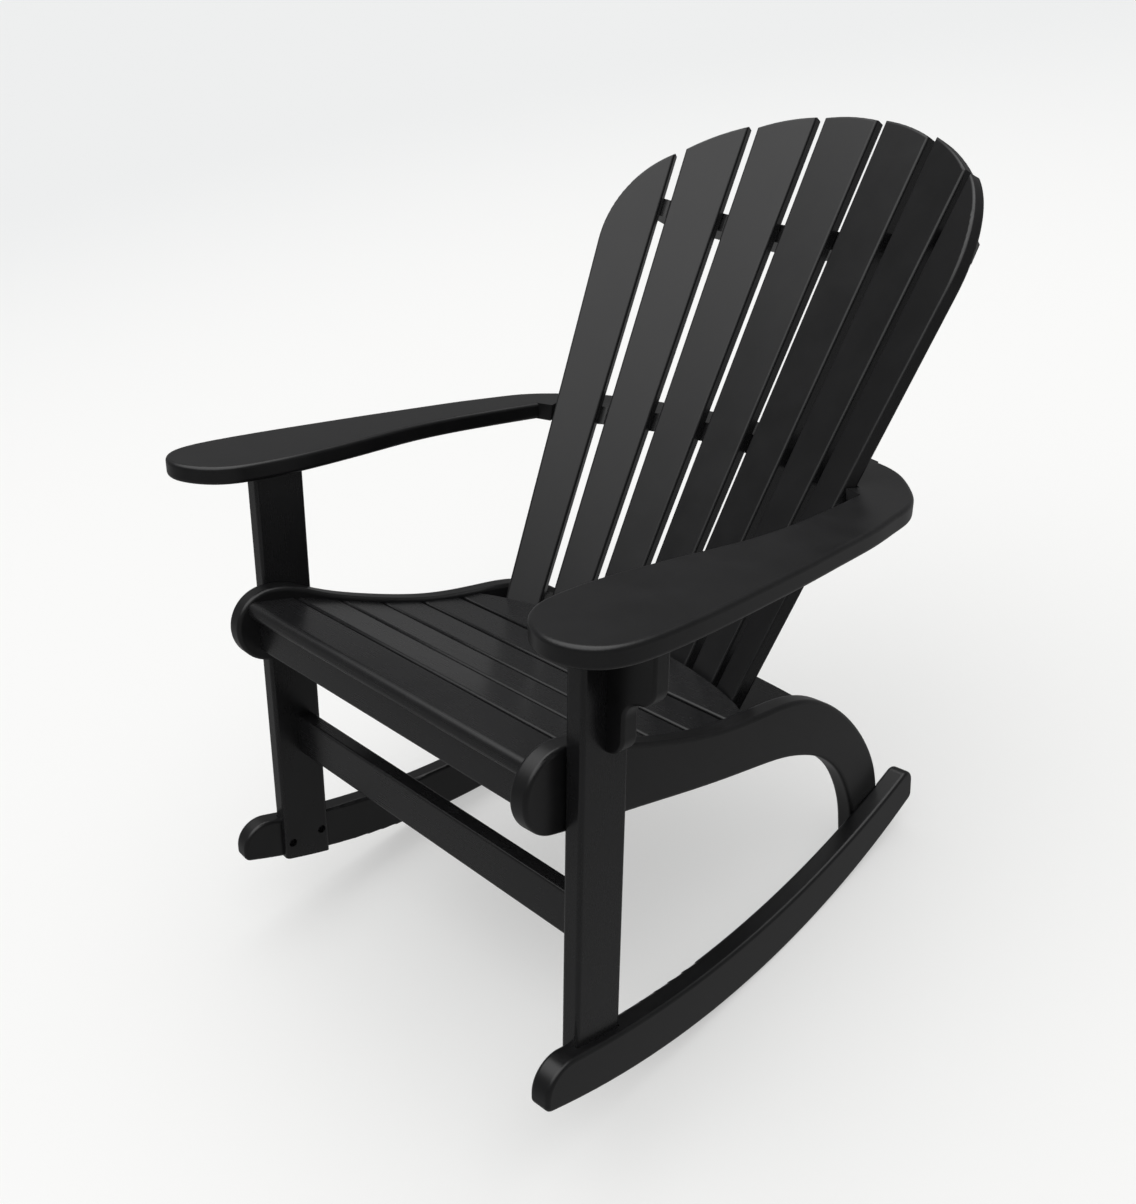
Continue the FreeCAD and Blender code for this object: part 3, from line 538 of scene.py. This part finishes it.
def floor_material():
    """Matt pale floor with a painted fall-off of light, darker far out, with a share of its
    brightness free of shadows.
    """
    stage = bpy.context.scene.stage_settings
    material = new_material("Matt paper floor")
    tree = material.node_tree
    place = add(tree, "ShaderNodeTexCoord")
    distance = add(tree, "ShaderNodeVectorMath", {"operation": "LENGTH"},
                   {"Vector": place.outputs["Object"]})
    # painted fall-off of light: the floor's colour darkens with distance from the chair, from near
    # reach to far reach
    far = ramp(tree, distance.outputs["Value"], stage.near_reach, stage.far_reach,
               curve="SMOOTHSTEP")
    colour = blend(tree, far, (*stage.floor_colour, 1), (*stage.backdrop_colour, 1))
    lit = blend(tree, stage.floor_glow, colour, BLACK)
    path = add(tree, "ShaderNodeLightPath")
    glow = add(tree, "ShaderNodeMath", {"operation": "MULTIPLY", 1: stage.floor_glow},
               {0: path.outputs["Is Camera Ray"]})
    shade = add(tree, "ShaderNodeBsdfDiffuse", {}, {"Color": lit})
    shine = add(tree, "ShaderNodeEmission", {},
                {"Color": colour, "Strength": glow.outputs["Value"]})
    both = add(tree, "ShaderNodeAddShader", {},
               {0: shade.outputs["BSDF"], 1: shine.outputs["Emission"]})
    add(tree, "ShaderNodeOutputMaterial", {}, {"Surface": both.outputs["Shader"]})
    return material


def make_floor(scene):
    build = bmesh.new()
    bmesh.ops.create_grid(build, x_segments=8, y_segments=8, size=FLOOR_REACH)
    mesh = bpy.data.meshes.new("Pale floor")
    build.to_mesh(mesh)
    build.free()
    floor = bpy.data.objects.new("Pale floor", mesh)
    floor.location = (0, 0, -FLOOR_DROP)
    scene.collection.objects.link(floor)
    floor.visible_glossy = False
    mesh.materials.append(floor_material())


def make_surroundings(scene):
    """Soft studio: bright overhead, dim round the horizon, a plain backdrop to the camera."""
    stage = scene.stage_settings
    world = bpy.data.worlds.new("Soft studio")
    world.use_nodes = True
    scene.world = world
    tree = world.node_tree
    tree.nodes.clear()
    place = add(tree, "ShaderNodeTexCoord")
    axes = add(tree, "ShaderNodeSeparateXYZ", {}, {"Vector": place.outputs["Generated"]})
    height = axes.outputs["Z"]
    overhead = ramp(tree, height, 0.56, 0.88, 0.0, stage.overhead_light, "SMOOTHSTEP")
    low = ramp(tree, height, -0.30, 0.05, stage.ground_light, stage.horizon_light, "SMOOTHSTEP")
    rise = add(tree, "ShaderNodeMath", {"operation": "ADD"}, {0: overhead, 1: low})
    soft = add(tree, "ShaderNodeBackground", {"Color": WHITE}, {"Strength": rise.outputs["Value"]})
    pale = add(tree, "ShaderNodeBackground",
               {"Color": (*stage.backdrop_colour, 1), "Strength": 1.0})
    path = add(tree, "ShaderNodeLightPath")
    both = add(tree, "ShaderNodeMixShader", {},
               {0: path.outputs["Is Camera Ray"],
                1: soft.outputs["Background"],
                2: pale.outputs["Background"]})
    add(tree, "ShaderNodeOutputWorld", {}, {"Surface": both.outputs["Shader"]})


def make_lamp(scene):
    """Distant soft lamp high behind the chair."""
    data = bpy.data.lights.new("High key lamp", "SUN")
    data.energy = scene.stage_settings.lamp_strength
    data.angle = LAMP_SOFTNESS
    lamp = bpy.data.objects.new("High key lamp", data)
    scene.collection.objects.link(lamp)
    back = direction(LAMP_AZIMUTH, LAMP_ELEVATION)
    lamp.rotation_mode = "QUATERNION"
    lamp.rotation_quaternion = look_back(back)
    lamp.location = back * LAMP_DISTANCE


class CHAIR_OT_stage(bpy.types.Operator):
    """Sets up the pale floor, the soft studio light and the camera"""
    bl_idname = "chair.stage"
    bl_label = "Studio"

    def execute(self, context):
        scene = context.scene
        make_camera(scene)
        make_floor(scene)
        make_surroundings(scene)
        make_lamp(scene)
        scene.view_settings.view_transform = "Standard"
        return {"FINISHED"}


# ---- panel ----

PIECES = (CHAIR_OT_rockers, CHAIR_OT_stringers, CHAIR_OT_legs, CHAIR_OT_seat, CHAIR_OT_back,
          CHAIR_OT_rails, CHAIR_OT_arms, CHAIR_OT_screws, CHAIR_OT_stage)


class CHAIR_PT_panel(bpy.types.Panel):
    """Lists the chair's settings and its pieces"""
    bl_idname = "CHAIR_PT_panel"
    bl_label = "Rocking chair"
    bl_space_type = "VIEW_3D"
    bl_region_type = "UI"
    bl_category = "Chair"

    def draw(self, context):
        scene = context.scene
        for owner in (scene.board_finish, scene.screw_settings, scene.stage_settings):
            box = self.layout.box()
            for name in owner.__annotations__:
                box.prop(owner, name)
        for piece in PIECES:
            self.layout.operator(piece.bl_idname)


CLASSES = (BoardFinishSettings, ScrewSettings, StageSettings) + PIECES + (CHAIR_PT_panel,)


def register():
    for cls in CLASSES:
        bpy.utils.register_class(cls)
    bpy.types.Scene.board_finish = bpy.props.PointerProperty(type=BoardFinishSettings)
    bpy.types.Scene.screw_settings = bpy.props.PointerProperty(type=ScrewSettings)
    bpy.types.Scene.stage_settings = bpy.props.PointerProperty(type=StageSettings)


def unregister():
    del bpy.types.Scene.board_finish
    del bpy.types.Scene.screw_settings
    del bpy.types.Scene.stage_settings
    for cls in reversed(CLASSES):
        bpy.utils.unregister_class(cls)


def main():
    register()
    bpy.ops.chair.rockers()
    bpy.ops.chair.stringers()
    bpy.ops.chair.legs()
    bpy.ops.chair.seat()
    bpy.ops.chair.back()
    bpy.ops.chair.rails()
    bpy.ops.chair.arms()
    bpy.ops.chair.screws()
    bpy.ops.chair.stage()


if __name__ == "__main__":
    main()
